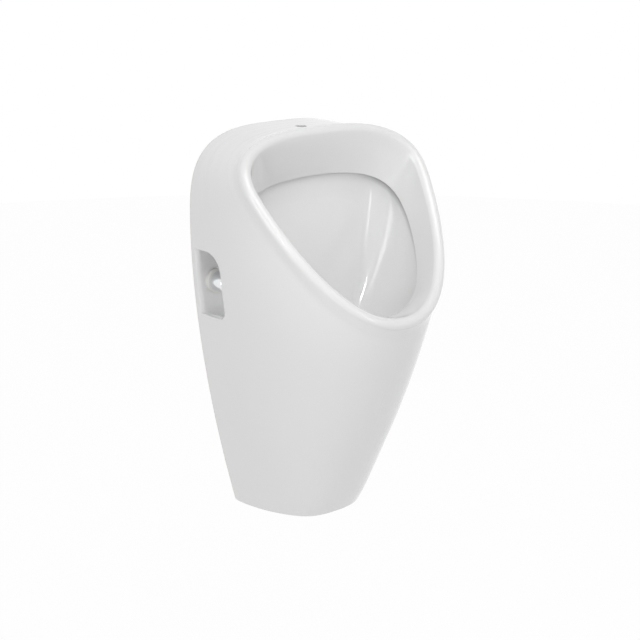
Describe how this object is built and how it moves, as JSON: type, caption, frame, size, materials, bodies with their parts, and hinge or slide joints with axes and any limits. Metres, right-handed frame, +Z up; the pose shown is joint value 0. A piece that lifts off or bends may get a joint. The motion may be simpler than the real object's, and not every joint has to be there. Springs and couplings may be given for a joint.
{
  "type": "wall hung urinal",
  "caption": "White glazed ceramic wall hung urinal with a sloping rolled rim, side openings with chrome fixing caps, top inlet, strainer, bottle trap and wall outlet.",
  "frame": {"origin": "midway between the two wall fixings, on the wall face", "axes": "+X to the right seen from the front, +Y into the wall, +Z up"},
  "size_m": [0.3734, 0.3579, 0.6217],
  "materials": {
    "glazed_ceramic": "gloss white glaze",
    "chrome": "polished chrome plate",
    "steel": "plain zinc plated and stainless steel",
    "white_plastic": "satin white polypropylene",
    "black_rubber": "matt black rubber",
    "brass": "plain brass"
  },
  "bodies": {
    "urinal": {"ceramic_body": "glazed_ceramic", "waste_gasket": "black_rubber", "waste_seal": "black_rubber", "waste_flange": "steel", "waste_locknut": "white_plastic", "trap_body": "white_plastic", "neck_seal": "black_rubber", "union_nut": "white_plastic", "outlet_pipe": "white_plastic", "outlet_seal": "black_rubber", "outlet_nut": "white_plastic", "wall_sleeve": "black_rubber", "inlet_seal": "black_rubber", "inlet_spreader": "brass", "wall_stud_left": "steel", "fixing_collar_left": "white_plastic", "fixing_washer_left": "steel", "fixing_nut_left": "steel", "wall_stud_right": "steel", "fixing_collar_right": "white_plastic", "fixing_washer_right": "steel", "fixing_nut_right": "steel"},
    "left_cap": {"fixing_cap_left": "chrome"},
    "right_cap": {"fixing_cap_right": "chrome"},
    "strainer": {"strainer_grid": "chrome", "strainer_screw": "steel"},
    "cleaning_cup": {"trap_cup": "white_plastic", "cup_ring": "black_rubber"}
  },
  "joints": [
    {"name": "cap_left", "type": "slide", "parent": "urinal", "child": "left_cap", "axis": [0, -1, 0], "range_m": [0, 0.02]},
    {"name": "cap_right", "type": "slide", "parent": "urinal", "child": "right_cap", "axis": [0, -1, 0], "range_m": [0, 0.02]},
    {"name": "strainer_lift", "type": "slide", "parent": "urinal", "child": "strainer", "axis": [0, 0, 1], "range_m": [0, 0.06]},
    {"name": "cup_drop", "type": "slide", "parent": "urinal", "child": "cleaning_cup", "axis": [0, 0, -1], "range_m": [0, 0.02]}
  ]
}
